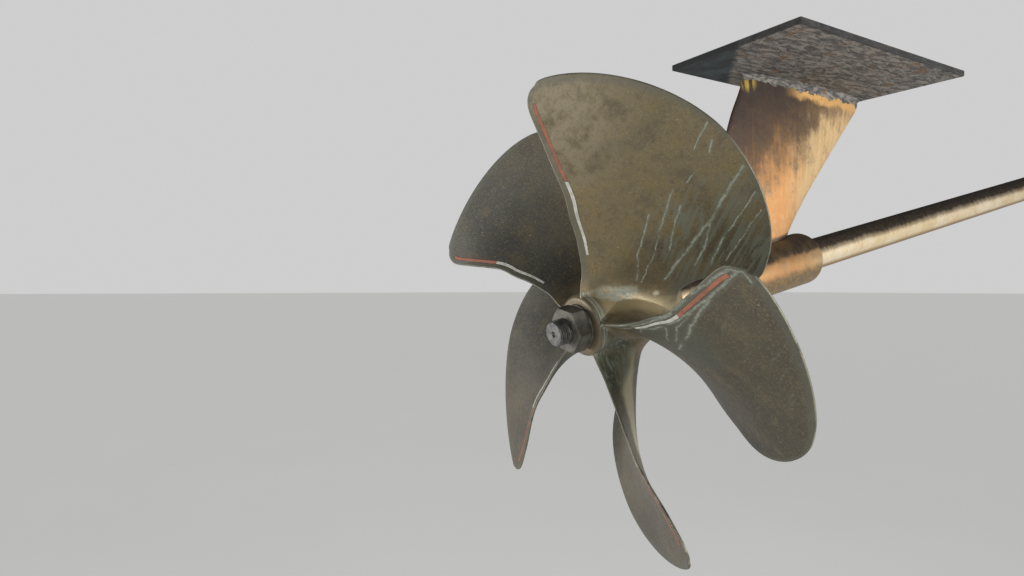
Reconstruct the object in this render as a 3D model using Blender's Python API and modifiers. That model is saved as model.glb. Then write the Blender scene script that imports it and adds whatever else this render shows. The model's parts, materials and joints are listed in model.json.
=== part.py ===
"""Fixed-pitch five-blade bronze propeller on its tail shaft, carried by a single-arm shaft bracket.

Frame: metres, +X to starboard, +Y forward, +Z up. The origin is the middle of the palm's upper
face. The shaft line rises forward below it. Distances called stations run forward along the
shaft line from the aft end of the shaft.
"""
import math

import bmesh
import bpy
import numpy as np
from mathutils import Vector

# Shaft line
SHAFT_RISE_DEG = 12.25            # rise of the shaft line going forward
SHAFT_END = (-0.100, -0.762, -0.659)   # aft end of the shaft, from the middle of the palm
SHAFT_DIA = 0.085
SHAFT_LENGTH = 2.300
SHAFT_CHAMFER = 0.004
THREAD_DIA = 0.056
THREAD_RELIEF = 0.004             # how far the thread runs past the hub face, inside the hub
THREAD_CHAMFER = 0.003
CENTRE_HOLE_DIA = 0.012
CENTRE_HOLE_DEPTH = 0.009
TAPER_RATIO = 12.0                # one unit of diameter in twelve of length

# Hub
HUB_AFT_STATION = 0.070
HUB_LENGTH = 0.250
HUB_EDGE_ROUND = 0.010
# share of the hub's length from its aft end, radius
HUB_OUTLINE = (
    (0.00, 0.0670),
    (0.15, 0.0695),
    (0.30, 0.0710),
    (0.60, 0.0720),
    (0.80, 0.0715),
    (1.00, 0.0690),
)
HUB_STEPS = 10
FIT_GAP = 0.0003                  # gap between surfaces that touch

# Blades
BLADE_COUNT = 5
PROP_RADIUS = 0.520
BLADE_ROOT_STATION = 0.1395       # where the root chord's middle would lie with no swing
ROOT_ANGLE_DEG = 34.3             # the top blade from straight up, before its swing
SWING_PITCH = 1.370               # pitch of the screw line that the mid chord swings along
EDGE_THICKNESS = 0.0055
EDGE_FLAT = 0.45                  # share of the edge thickness left as a blunt edge
EDGE_POWER = 8                    # how late the edges round off, as a power of the chord share
ROOT_FILLET = 0.030
TRAIL_FILLET_SHARE = 0.25         # share of the root fillet that is left at the trailing edge
FULL_FILLET_FROM = 0.35           # chord share from which the root fillet has its full size
LEAD_FLARE = 0.060                # how far the leading edge sweeps forward into the hub
LEAD_FLARE_HEIGHT = 0.165         # height over the hub at which that sweep begins
LEAD_FLARE_POWER = 1.5
FILLET_SINK = 0.0015              # how far the fillet's toe lies under the hub's surface
FILLET_STEPS = 5
BLADE_ROOT_SINK = 0.0009          # how far the loft starts under the lowest foot of the fillet
# where the blade's loft starts inside the hub
BLADE_INNER_RATIO = (HUB_OUTLINE[0][1] - HUB_EDGE_ROUND - FILLET_SINK - BLADE_ROOT_SINK) / PROP_RADIUS
TIP_CORNER_RATIO = 0.955          # where the sides of the blade turn into the tip
# radius ratio, width in propeller diameters before the tip is rounded off, swing of the mid
# chord in degrees, and thickness in the middle of the chord
BLADE_OUTLINE = (
    (0.13, 0.172, 4.7, 0.0580),
    (0.20, 0.176, 3.8, 0.0470),
    (0.35, 0.256, 6.1, 0.0290),
    (0.50, 0.403, 10.9, 0.0205),
    (0.65, 0.469, 5.7, 0.0157),
    (0.80, 0.547, -1.0, 0.0111),
    (0.90, 0.638, -6.9, 0.0082),
    (0.97, 0.797, -12.0, 0.0060),
    (1.00, 1.014, -18.2, 0.0055),
)
# radius ratio, pitch, and how far the mid chord lies ahead of the screw line of its swing
BLADE_SCREW = (
    (0.13, 1.170, 0.0000),
    (0.40, 1.309, 0.0090),
    (0.60, 1.403, 0.0106),
    (0.80, 1.318, 0.0069),
    (1.00, 1.358, 0.0046),
)
TIP_ROUNDING = 6                  # power of the radius ratio in the tip's rounding
BLADE_STATIONS = 17
CHORD_STEPS = 14

# Strips let into the pressure face along the trailing edge
STRIP_WIDTH = 0.0085
STRIP_DEPTH = 0.0022
STRIP_PROUD = 0.0003
STRIP_INSET = 0.017               # middle of the strip from the trailing edge
OUTER_STRIP_ENDS = (0.600, 0.905)  # radius ratios
INNER_STRIP_ENDS = (0.305, 0.600)
STRIP_STEPS = 14

# Nut, lock nut and washer
NUT_FLATS = 0.090
NUT_THICKNESS = 0.034
NUT_CHAMFER = 0.006
LOCK_NUT_FLATS = 0.082
LOCK_NUT_THICKNESS = 0.014
WASHER_RADIUS = 0.049
WASHER_THICKNESS = 0.005
NUT_TURN_DEG = 12.0               # one corner of the nut, from starboard
LOCK_NUT_TURN_DEG = 31.0

# Shaft key
KEY_WIDTH = 0.022
KEY_HEIGHT = 0.014
KEY_SHARE = 0.5                   # share of the key's height that is sunk in the shaft
KEY_END_LAND = 0.025              # plain taper left at each end of the key

# Bracket
PALM_LENGTH = 0.676
PALM_WIDTH = 0.368
PALM_THICKNESS = 0.014
BARREL_AFT_STATION = 0.480
BARREL_LENGTH = 0.370
BARREL_RADIUS = 0.070
BARREL_ROUND = 0.018
BARREL_MOUTH = 0.002
ARM_THICKNESS = 0.046
ARM_NOSE = 0.25                   # how much fuller the arm is at its leading edge
# fraction of the way down from the palm to the shaft line, leading edge y, trailing edge y
ARM_OUTLINE = (
    (0.00, 0.325, -0.162),
    (0.06, 0.320, -0.175),
    (0.14, 0.289, -0.192),
    (0.25, 0.241, -0.218),
    (0.45, 0.149, -0.251),
    (0.65, 0.058, -0.272),
    (0.80, 0.000, -0.284),
    (1.00, -0.050, -0.285),
)
# the same fraction at each ring of the arm's skin
ARM_RINGS = (0.0, 0.03, 0.05, 0.08, 0.12, 0.2, 0.35, 0.5, 0.65, 0.75, 0.8, 0.84, 0.9, 1.0)
ARM_SIDES = 20
ARM_FILLET = 0.012

# Bearing
BEARING_SHELL_RADIUS = 0.0575
BEARING_SHELL_WALL = 0.004
BEARING_CLEARANCE = 0.0004
FLUTE_COUNT = 10
FLUTE_DEPTH = 0.004
FLUTE_SHARE = 0.4                 # share of the lining's inside that is flute
LAND_STEPS = (0.0, 0.25, 0.5, 0.75, 1.0)
FLUTE_STEPS = (0.15, 0.5, 0.85)

ROUND_SIDES = 64
CORNER_SHARE = 0.3                # how far in a rounded corner's middle point lies
CUTTER_OVERRUN = 0.010


def clear_scene():
    for item in list(bpy.data.objects):
        bpy.data.objects.remove(item, do_unlink=True)


def new_collection(name):
    group = bpy.data.collections.new(name)
    bpy.context.scene.collection.children.link(group)
    return group


def finish_material(name, colour, roughness, metallic):
    material = bpy.data.materials.new(name)
    material.use_nodes = True
    shader = material.node_tree.nodes["Principled BSDF"]
    shader.inputs["Base Color"].default_value = (*colour, 1.0)
    shader.inputs["Roughness"].default_value = roughness
    shader.inputs["Metallic"].default_value = metallic
    return material


def place(item, group, material=None, parent=None):
    group.objects.link(item)
    item.parent = parent
    if material:
        item.data.materials.append(material)
    if group is cutters:
        item.hide_render = True
        item.display_type = "WIRE"
    elif item.type == "MESH":
        item.data.shade_smooth()
        item.data.set_sharp_from_angle(angle=math.radians(35))
    return item


def mesh_object(name, builder):
    mesh = bpy.data.meshes.new(name)
    bm = bmesh.new()
    builder(bm)
    bmesh.ops.recalc_face_normals(bm, faces=bm.faces)
    bm.to_mesh(mesh)
    bm.free()
    return bpy.data.objects.new(name, mesh)


def turned(name, profile, sides=ROUND_SIDES):
    """Profile of (radius, station) down the outer side, turned about the shaft line."""
    def build(bm):
        points = [bm.verts.new((radius, 0.0, station)) for radius, station in profile]
        for first, second in zip(points, points[1:]):
            bm.edges.new((first, second))
    item = mesh_object(name, build)
    screw = item.modifiers.new("turn", "SCREW")
    screw.axis = "Z"
    screw.angle = math.tau
    screw.steps = sides
    screw.render_steps = sides
    screw.use_merge_vertices = True
    screw.merge_threshold = 0.0001
    return item


def boolean(item, operation, cutter):
    step = item.modifiers.new(operation.lower(), "BOOLEAN")
    step.operation = operation
    step.object = cutter
    step.solver = "EXACT"


def smooth_value(at, stations, values):
    """Smooth curve through a few values, without overshoot between them."""
    stations = np.array(stations)
    values = np.array(values)
    steps = np.diff(stations)
    slopes = np.diff(values) / steps
    tangents = np.empty_like(values)
    tangents[0] = slopes[0]
    tangents[-1] = slopes[-1]
    for i in range(1, len(values) - 1):
        before, after = slopes[i - 1], slopes[i]
        tangents[i] = 0.0 if before * after <= 0 else 2 * before * after / (before + after)
    i = int(np.clip(np.searchsorted(stations, at) - 1, 0, len(steps) - 1))
    t = (at - stations[i]) / steps[i]
    return float(
        values[i] * (1 + 2 * t) * (1 - t) ** 2
        + tangents[i] * steps[i] * t * (1 - t) ** 2
        + values[i + 1] * t * t * (3 - 2 * t)
        + tangents[i + 1] * steps[i] * t * t * (t - 1)
    )


def blade_chord(ratio):
    ratios, widths, _, _ = zip(*BLADE_OUTLINE)
    width = 2 * PROP_RADIUS * smooth_value(ratio, ratios, widths)
    return width * math.sqrt(1 - ratio ** TIP_ROUNDING)


def blade_swing(ratio):
    ratios, _, swings, _ = zip(*BLADE_OUTLINE)
    return math.radians(smooth_value(ratio, ratios, swings))


def blade_thickness(ratio):
    ratios, _, _, thicknesses = zip(*BLADE_OUTLINE)
    return smooth_value(ratio, ratios, thicknesses)


def blade_pitch(ratio):
    ratios, pitches, _ = zip(*BLADE_SCREW)
    return smooth_value(ratio, ratios, pitches)


def blade_rake(ratio):
    ratios, _, rakes = zip(*BLADE_SCREW)
    return smooth_value(ratio, ratios, rakes)


def hub_radius(station):
    shares, radii = zip(*HUB_OUTLINE)
    share = (station - HUB_AFT_STATION) / HUB_LENGTH
    return smooth_value(min(max(share, 0.0), 1.0), shares, radii)


def rounded_hub_radius(station):
    """The hub's radius with the round of its aft edge taken off."""
    over = min(max((HUB_AFT_STATION + HUB_EDGE_ROUND - station) / HUB_EDGE_ROUND, 0.0), 1.0)
    return hub_radius(station) - HUB_EDGE_ROUND * (1 - math.sqrt(1 - over * over))


def fillet_growth(distance, size):
    """How much a fillet of this size thickens a wall at a distance from its foot."""
    left = 1 - min(max(distance, 0.0) / size, 1.0)
    return size * (1 - math.sqrt(max(1 - left * left, 0.0)))


def blade_lead(ratio):
    return math.atan(blade_pitch(ratio) / (math.tau * ratio * PROP_RADIUS))


def half_angle(ratio):
    """Half the angle that the blade covers at a radius, seen along the shaft."""
    return 0.5 * blade_chord(ratio) * math.cos(blade_lead(ratio)) / (ratio * PROP_RADIUS)


def blade_middle(ratio):
    """Station of the middle of the chord."""
    swung = blade_swing(ratio) * SWING_PITCH / math.tau
    return BLADE_ROOT_STATION + blade_rake(ratio) + swung


def foot_radius(ratio, chord_share):
    """Radius of the hub under a place on the blade, less the sink of the fillet's toe."""
    reach = (chord_share - 0.5) * blade_chord(ratio)
    station = blade_middle(ratio) + reach * math.sin(blade_lead(ratio))
    return rounded_hub_radius(station) - FILLET_SINK


def fillet_size(chord_share):
    """The root fillet fades towards the trailing edge, which ends close to the hub's aft face."""
    full = min(chord_share / FULL_FILLET_FROM, 1.0)
    full = full * full * (3 - 2 * full)
    return ROOT_FILLET * (TRAIL_FILLET_SHARE + (1 - TRAIL_FILLET_SHARE) * full)


def blade_point(ratio, chord_share, side, lift=0.0):
    """Point on one blade in the shaft line's own axes.

    chord_share runs from 0 at the trailing edge to 1 at the leading edge; side is -1 on the
    pressure face, which looks aft, and +1 on the suction face.
    """
    radius = ratio * PROP_RADIUS
    lead = blade_lead(ratio)
    middle = blade_middle(ratio)
    foot = foot_radius(ratio, chord_share)
    size = fillet_size(chord_share)
    growth = fillet_growth(radius - foot, size)
    reach = (chord_share - 0.5) * blade_chord(ratio)
    low = 1 - min(max((radius - foot) / LEAD_FLARE_HEIGHT, 0.0), 1.0)
    reach += chord_share ** 2 * LEAD_FLARE * low ** LEAD_FLARE_POWER
    bulge = 4 * chord_share * (1 - chord_share)
    edge = max(math.sqrt(max(1 - (2 * chord_share - 1) ** EDGE_POWER, 0.0)), EDGE_FLAT)
    across = (0.5 * EDGE_THICKNESS + growth) * edge
    if side > 0:
        across += (blade_thickness(ratio) - EDGE_THICKNESS) * bulge
    across = side * (across + lift)
    angle = math.radians(ROOT_ANGLE_DEG) + blade_swing(ratio)
    angle += (reach * math.cos(lead) - across * math.sin(lead)) / radius
    station = middle + reach * math.sin(lead) + across * math.cos(lead)
    # the fillet's toe follows the slope of the hub
    radius += (rounded_hub_radius(station) - FILLET_SINK - foot) * growth / size
    return Vector((radius * math.sin(angle), -radius * math.cos(angle), station))


def ratio_with_half_angle(wanted):
    """Radius ratio beyond the tip corners where the blade covers this much angle."""
    low, high = TIP_CORNER_RATIO, 1.0
    for _ in range(40):
        middle = (low + high) / 2
        if half_angle(middle) > wanted:
            low = middle
        else:
            high = middle
    return (low + high) / 2


def blade_place(across, outward):
    """Radius ratio and chord share of one point of the grid that covers a blade.

    The grid's rows follow the root at outward 0 and bend to the round of the tip at outward 1.
    """
    corner = TIP_CORNER_RATIO
    inner = BLADE_INNER_RATIO
    side = inner + (corner - inner) * outward
    offset = (2 * across - 1) * half_angle(corner)
    tip = ratio_with_half_angle(abs(offset))
    sides = (blade_swing(side) + (2 * across - 1) * half_angle(side), side)
    root = (blade_swing(inner) + (2 * across - 1) * half_angle(inner), inner)
    crown = (blade_swing(tip) + offset, tip)
    level = (blade_swing(corner) + offset, corner)
    angle, ratio = (
        (1 - outward) * root[k] + outward * crown[k] + sides[k]
        - (1 - outward) * root[k] - outward * level[k]
        for k in (0, 1)
    )
    half = half_angle(ratio) if ratio < 1 else 0.0
    if half < 1e-6:
        return min(ratio, 1.0), 0.0
    share = 0.5 + 0.5 * (angle - blade_swing(ratio)) / half
    return ratio, min(max(share, 0.0), 1.0)


def blade_rows(across):
    """How far outward each row of the grid lies, with rows set close over the root fillet."""
    inner = BLADE_INNER_RATIO
    tip = ratio_with_half_angle(abs(2 * across - 1) * half_angle(TIP_CORNER_RATIO))
    foot = inner
    for _ in range(6):
        foot = foot_radius(foot, across) / PROP_RADIUS
    ratios = [inner]
    for step in range(FILLET_STEPS + 1):
        bend = math.pi / 2 * step / FILLET_STEPS
        ratios.append(foot + fillet_size(across) * (1 - math.cos(bend)) / PROP_RADIUS)
    fillet_end = ratios[-1]
    for step in range(1, BLADE_STATIONS + 1):
        ratios.append(fillet_end + (tip - fillet_end) * step / BLADE_STATIONS)
    return [(ratio - inner) / (tip - inner) for ratio in ratios]


def loft(bm, rings):
    """Closed skin through rings of like count, with a flat cap on each end."""
    rows = [[bm.verts.new(point) for point in ring] for ring in rings]
    count = len(rows[0])
    for row, above in zip(rows, rows[1:]):
        for i in range(count):
            j = (i + 1) % count
            bm.faces.new((row[i], row[j], above[j], above[i]))
    bm.faces.new(rows[0])
    bm.faces.new(rows[-1])


def build_blade(bm):
    """Grid of points on each face of the blade, with a narrow band closing the edges."""
    places = []
    for column in range(CHORD_STEPS + 1):
        across = 0.5 - 0.5 * math.cos(math.pi * column / CHORD_STEPS)
        places.append([blade_place(across, outward) for outward in blade_rows(across)])
    sheets = []
    for side in (-1, 1):
        sheets.append([
            [bm.verts.new(blade_point(ratio, share, side)) for ratio, share in row]
            for row in zip(*places)
        ])
    for sheet in sheets:
        for row, above in zip(sheet, sheet[1:]):
            for i in range(CHORD_STEPS):
                bm.faces.new((row[i], row[i + 1], above[i + 1]))
                bm.faces.new((row[i], above[i + 1], above[i]))
    rims = []
    for sheet in sheets:
        rim = list(sheet[0])
        rim += [row[-1] for row in sheet[1:]]
        rim += reversed(sheet[-1][:-1])
        rim += [row[0] for row in reversed(sheet[1:-1])]
        rims.append(rim)
    count = len(rims[0])
    for i in range(count):
        j = (i + 1) % count
        bm.faces.new((rims[0][i], rims[0][j], rims[1][j], rims[1][i]))


def strip_ratios(ends):
    return [ends[0] + (ends[1] - ends[0]) * i / STRIP_STEPS for i in range(STRIP_STEPS + 1)]


def strip_rings(ratios, half_width, low, high):
    """Square rings along the trailing edge, with low and high measured out of the face."""
    rings = []
    for ratio in ratios:
        chord = blade_chord(ratio)
        inner = (STRIP_INSET + half_width) / chord
        outer = (STRIP_INSET - half_width) / chord
        rings.append([
            blade_point(ratio, outer, -1, low),
            blade_point(ratio, inner, -1, low),
            blade_point(ratio, inner, -1, high),
            blade_point(ratio, outer, -1, high),
        ])
    return rings


def build_palm(bm):
    bmesh.ops.create_cube(bm, size=1.0)
    bmesh.ops.scale(bm, vec=(PALM_WIDTH, PALM_LENGTH, PALM_THICKNESS), verts=bm.verts)
    bmesh.ops.translate(bm, vec=(0, 0, -PALM_THICKNESS / 2), verts=bm.verts)


def arm_ring(share):
    rise = math.radians(SHAFT_RISE_DEG)
    lead_y = smooth_value(share, [row[0] for row in ARM_OUTLINE], [row[1] for row in ARM_OUTLINE])
    trail_y = smooth_value(share, [row[0] for row in ARM_OUTLINE], [row[2] for row in ARM_OUTLINE])
    top = -PALM_THICKNESS / 2
    middle_y = (lead_y + trail_y) / 2
    bottom = SHAFT_END[2] + (middle_y - SHAFT_END[1]) * math.tan(rise)
    level = top + (bottom - top) * share
    growth = fillet_growth(-PALM_THICKNESS - level, ARM_FILLET)
    growth += fillet_growth(level - (bottom + BARREL_RADIUS), ARM_FILLET)
    ring = []
    for i in range(ARM_SIDES):
        turn = math.tau * i / ARM_SIDES
        along = math.cos(turn)
        across = math.sin(turn) * (0.5 * ARM_THICKNESS * (1 + ARM_NOSE * along) + growth)
        y = middle_y + along * ((lead_y - trail_y) / 2 + growth)
        ring.append(Vector((SHAFT_END[0] + across, y, level)))
    return ring


def build_arm(bm):
    loft(bm, [arm_ring(share) for share in ARM_RINGS])


clear_scene()
parts = new_collection("ship_propeller")
cutters = new_collection("cutters")

bronze = finish_material("weathered_bronze", (0.20, 0.17, 0.10), 0.5, 0.7)
bracket_bronze = finish_material("bracket_bronze", (0.55, 0.33, 0.15), 0.5, 0.7)
shaft_steel = finish_material("shaft_steel", (0.62, 0.55, 0.42), 0.3, 1.0)
nut_bronze = finish_material("dark_bronze", (0.12, 0.11, 0.10), 0.5, 0.7)
red_strip = finish_material("red_strip", (0.45, 0.15, 0.08), 0.6, 0.0)
white_strip = finish_material("white_strip", (0.6, 0.6, 0.55), 0.6, 0.0)
key_steel = finish_material("key_steel", (0.5, 0.48, 0.45), 0.4, 1.0)
shell_brass = finish_material("bearing_brass", (0.5, 0.4, 0.2), 0.4, 0.9)
rubber = finish_material("bearing_rubber", (0.03, 0.03, 0.03), 0.8, 0.0)

rotor_axis = bpy.data.objects.new("rotor_axis", None)
rotor_axis.location = SHAFT_END
rotor_axis.rotation_euler = (math.radians(SHAFT_RISE_DEG - 90), 0, 0)
parts.objects.link(rotor_axis)
bearing_axis = bpy.data.objects.new("bearing_axis", None)
bearing_axis.location = rotor_axis.location
bearing_axis.rotation_euler = rotor_axis.rotation_euler
parts.objects.link(bearing_axis)

# Tail shaft: plain bar, taper under the hub, thread for the nut, centre hole in the aft end.
hub_fore_station = HUB_AFT_STATION + HUB_LENGTH
shaft_radius = SHAFT_DIA / 2
taper_aft_radius = shaft_radius - HUB_LENGTH / TAPER_RATIO / 2
thread_radius = THREAD_DIA / 2
thread_fore = HUB_AFT_STATION + THREAD_RELIEF
shaft = turned("tail_shaft", (
    (0.0, SHAFT_LENGTH),
    (shaft_radius - SHAFT_CHAMFER, SHAFT_LENGTH),
    (shaft_radius, SHAFT_LENGTH - SHAFT_CHAMFER),
    (shaft_radius, hub_fore_station),
    (taper_aft_radius, thread_fore),
    (thread_radius, thread_fore),
    (thread_radius, THREAD_CHAMFER),
    (thread_radius - THREAD_CHAMFER, 0.0),
    (CENTRE_HOLE_DIA / 2, 0.0),
    (0.0, CENTRE_HOLE_DEPTH),
))
place(shaft, parts, shaft_steel, rotor_axis)


def rounded_corner(radius, station, size, inward):
    """Three points of a rounded corner, from the flat end to the outer side."""
    return [
        (radius - size, station),
        (radius - CORNER_SHARE * size, station + CORNER_SHARE * size * inward),
        (radius, station + size * inward),
    ]


# Hub with its tapered bore.
hub_side = []
for step in range(HUB_STEPS, 0, -1):
    share = step / (HUB_STEPS + 1)
    station = HUB_AFT_STATION + HUB_EDGE_ROUND + (HUB_LENGTH - 2 * HUB_EDGE_ROUND) * share
    hub_side.append((hub_radius(station), station))
hub = turned("propeller", (
    [(0.0, hub_fore_station)]
    + rounded_corner(hub_radius(hub_fore_station), hub_fore_station, HUB_EDGE_ROUND, -1)
    + hub_side
    + rounded_corner(hub_radius(HUB_AFT_STATION), HUB_AFT_STATION, HUB_EDGE_ROUND, 1)[::-1]
    + [(0.0, HUB_AFT_STATION)]
))
place(hub, parts, bronze, rotor_axis)

groove_low = -STRIP_DEPTH
groove_high = 2 * STRIP_DEPTH
groove_ratios = strip_ratios(INNER_STRIP_ENDS) + strip_ratios(OUTER_STRIP_ENDS)[1:]
gap_ratio = FIT_GAP / PROP_RADIUS
for number in range(1, BLADE_COUNT + 1):
    turn = -math.tau * (number - 1) / BLADE_COUNT
    groove = mesh_object(f"strip_groove_{number}", lambda bm: loft(
        bm, strip_rings(groove_ratios, STRIP_WIDTH / 2, groove_low, groove_high)))
    place(groove, cutters, None, rotor_axis)
    groove.rotation_euler = (0, 0, turn)
    blade = mesh_object(f"blade_{number}", build_blade)
    place(blade, cutters, None, rotor_axis)
    blade.rotation_euler = (0, 0, turn)
    boolean(blade, "DIFFERENCE", groove)
    boolean(hub, "UNION", blade)
    for name, ends, material in (
        ("outer_strip", OUTER_STRIP_ENDS, red_strip),
        ("inner_strip", INNER_STRIP_ENDS, white_strip),
    ):
        ratios = strip_ratios(ends)
        ratios[0] += gap_ratio
        ratios[-1] -= gap_ratio
        strip = mesh_object(f"{name}_{number}", lambda bm: loft(bm, strip_rings(
            ratios, STRIP_WIDTH / 2 - FIT_GAP, FIT_GAP - STRIP_DEPTH, STRIP_PROUD)))
        place(strip, parts, material, rotor_axis)
        strip.rotation_euler = (0, 0, turn)

bore = turned("hub_bore", (
    (0.0, hub_fore_station + CUTTER_OVERRUN),
    (shaft_radius + FIT_GAP, hub_fore_station + CUTTER_OVERRUN),
    (shaft_radius + FIT_GAP, hub_fore_station),
    (taper_aft_radius + FIT_GAP, thread_fore),
    (taper_aft_radius + FIT_GAP, HUB_AFT_STATION - CUTTER_OVERRUN),
    (0.0, HUB_AFT_STATION - CUTTER_OVERRUN),
))
place(bore, cutters, None, rotor_axis)
boolean(hub, "DIFFERENCE", bore)

# Key in the taper: a flat bar along the top of the taper, half in the shaft, half in the hub.
taper_slope = math.atan(0.5 / TAPER_RATIO)
key_length = HUB_LENGTH - 2 * KEY_END_LAND
key_station = HUB_AFT_STATION + HUB_LENGTH / 2
key_radius = (shaft_radius + taper_aft_radius) / 2 + (0.5 - KEY_SHARE) * KEY_HEIGHT


def key_block(name, width, height, length):
    def build(bm):
        bmesh.ops.create_cube(bm, size=1.0)
        bmesh.ops.scale(bm, vec=(width, height, length), verts=bm.verts)
    item = mesh_object(name, build)
    item.rotation_euler = (taper_slope, 0, 0)
    item.location = (0, -key_radius, key_station)
    return item


key = key_block("shaft_key", KEY_WIDTH, KEY_HEIGHT, key_length)
place(key, parts, key_steel, rotor_axis)
key_seat = key_block("key_seat", KEY_WIDTH + 2 * FIT_GAP, KEY_HEIGHT + 2 * FIT_GAP,
                     key_length + 2 * FIT_GAP)
place(key_seat, cutters, None, rotor_axis)
boolean(shaft, "DIFFERENCE", key_seat)
boolean(hub, "DIFFERENCE", key_seat)


# Washer, nut and lock nut on the thread.
def hexagon(name, flats, aft, fore, turn_deg):
    """Six-sided nut with its corners turned off at both ends and a clear hole for the thread."""
    corner = flats / math.sqrt(3)

    def build(bm):
        bmesh.ops.create_cone(bm, cap_ends=True, segments=6, radius1=corner, radius2=corner,
                              depth=fore - aft)
        bmesh.ops.translate(bm, vec=(0, 0, (fore + aft) / 2), verts=bm.verts)
    item = mesh_object(name, build)
    item.rotation_euler = (0, 0, math.radians(turn_deg))
    drop = NUT_CHAMFER * math.tan(math.radians(30))
    chamfer = turned(name + "_chamfer", (
        (0.0, fore),
        (corner - NUT_CHAMFER, fore),
        (corner + FIT_GAP, fore - drop),
        (corner + FIT_GAP, aft + drop),
        (corner - NUT_CHAMFER, aft),
        (0.0, aft),
    ))
    place(chamfer, cutters, None, rotor_axis)
    boolean(item, "INTERSECT", chamfer)
    boolean(item, "DIFFERENCE", thread_hole)
    return item


washer_fore = HUB_AFT_STATION - FIT_GAP
washer_aft = washer_fore - WASHER_THICKNESS
nut_fore = washer_aft - FIT_GAP
nut_aft = nut_fore - NUT_THICKNESS
lock_nut_fore = nut_aft - FIT_GAP
lock_nut_aft = lock_nut_fore - LOCK_NUT_THICKNESS
thread_hole = turned("thread_hole", (
    (0.0, HUB_AFT_STATION),
    (thread_radius + FIT_GAP, HUB_AFT_STATION),
    (thread_radius + FIT_GAP, lock_nut_aft - CUTTER_OVERRUN),
    (0.0, lock_nut_aft - CUTTER_OVERRUN),
))
place(thread_hole, cutters, None, rotor_axis)
nut = hexagon("propeller_nut", NUT_FLATS, nut_aft, nut_fore, NUT_TURN_DEG)
place(nut, parts, nut_bronze, rotor_axis)
lock_nut = hexagon("lock_nut", LOCK_NUT_FLATS, lock_nut_aft, lock_nut_fore, LOCK_NUT_TURN_DEG)
place(lock_nut, parts, nut_bronze, rotor_axis)
washer = turned("nut_washer", (
    (thread_radius + FIT_GAP, washer_fore),
    (WASHER_RADIUS, washer_fore),
    (WASHER_RADIUS, washer_aft),
    (thread_radius + FIT_GAP, washer_aft),
    (thread_radius + FIT_GAP, washer_fore),
))
place(washer, parts, nut_bronze, rotor_axis)

# Bracket: palm, arm and barrel are one casting.
bracket = mesh_object("shaft_bracket", build_palm)
place(bracket, parts, bracket_bronze)
arm = mesh_object("arm", build_arm)
place(arm, cutters)
boolean(bracket, "UNION", arm)
barrel_fore = BARREL_AFT_STATION + BARREL_LENGTH
barrel = turned("barrel", (
    [(0.0, barrel_fore)]
    + rounded_corner(BARREL_RADIUS, barrel_fore, BARREL_ROUND, -1)
    + rounded_corner(BARREL_RADIUS, BARREL_AFT_STATION, BARREL_ROUND, 1)[::-1]
    + [(0.0, BARREL_AFT_STATION)]
))
place(barrel, cutters, None, bearing_axis)
boolean(bracket, "UNION", barrel)
barrel_bore_radius = BEARING_SHELL_RADIUS + FIT_GAP
barrel_bore = turned("barrel_bore", (
    (0.0, barrel_fore + CUTTER_OVERRUN),
    (barrel_bore_radius, barrel_fore + CUTTER_OVERRUN),
    (barrel_bore_radius, BARREL_AFT_STATION - CUTTER_OVERRUN),
    (0.0, BARREL_AFT_STATION - CUTTER_OVERRUN),
))
place(barrel_bore, cutters, None, bearing_axis)
boolean(bracket, "DIFFERENCE", barrel_bore)

# Bearing: a brass shell with a fluted rubber lining.
lining_outer = BEARING_SHELL_RADIUS - BEARING_SHELL_WALL - FIT_GAP
lining_inner = shaft_radius + BEARING_CLEARANCE
bearing_aft = BARREL_AFT_STATION + BARREL_MOUTH
bearing_fore = barrel_fore - BARREL_MOUTH


def ring_tube(name, outer, inner):
    return turned(name, (
        (inner, bearing_fore),
        (outer, bearing_fore),
        (outer, bearing_aft),
        (inner, bearing_aft),
        (inner, bearing_fore),
    ))


shell = ring_tube("bearing_shell", BEARING_SHELL_RADIUS, BEARING_SHELL_RADIUS - BEARING_SHELL_WALL)
place(shell, parts, shell_brass, bearing_axis)


def fluted_outline():
    """Inner outline of the lining: lands that touch the shaft, with water flutes between."""
    points = []
    pitch = math.tau / FLUTE_COUNT
    for flute in range(FLUTE_COUNT):
        start = flute * pitch
        land = pitch * (1 - FLUTE_SHARE)
        for share in LAND_STEPS:
            points.append((lining_inner, start + land * share))
        for share in FLUTE_STEPS:
            points.append((lining_inner + FLUTE_DEPTH, start + land + pitch * FLUTE_SHARE * share))
    return [(radius * math.cos(turn), radius * math.sin(turn)) for radius, turn in points]


circle = [(lining_outer * math.cos(math.tau * i / ROUND_SIDES),
           lining_outer * math.sin(math.tau * i / ROUND_SIDES)) for i in range(ROUND_SIDES)]
outline = bpy.data.curves.new("bearing_lining", "CURVE")
outline.dimensions = "2D"
outline.fill_mode = "BOTH"
outline.extrude = (bearing_fore - bearing_aft) / 2
for points in (circle, fluted_outline()):
    spline = outline.splines.new("POLY")
    spline.points.add(len(points) - 1)
    for point, (x, y) in zip(spline.points, points):
        point.co = (x, y, 0, 1)
    spline.use_cyclic_u = True
lining = bpy.data.objects.new("bearing_lining", outline)
lining.location = (0, 0, (bearing_fore + bearing_aft) / 2)
place(lining, parts, rubber, bearing_axis)
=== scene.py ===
"""Looks of a five-blade bronze ship propeller on its tail shaft, carried by a shaft bracket.

Frame: metres, +X to starboard, +Y forward, +Z up, from the middle of the palm's upper face.
"""
import json
import math

import bmesh
import bpy
import numpy as np
from mathutils import Matrix, Vector
from mathutils.kdtree import KDTree


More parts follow.
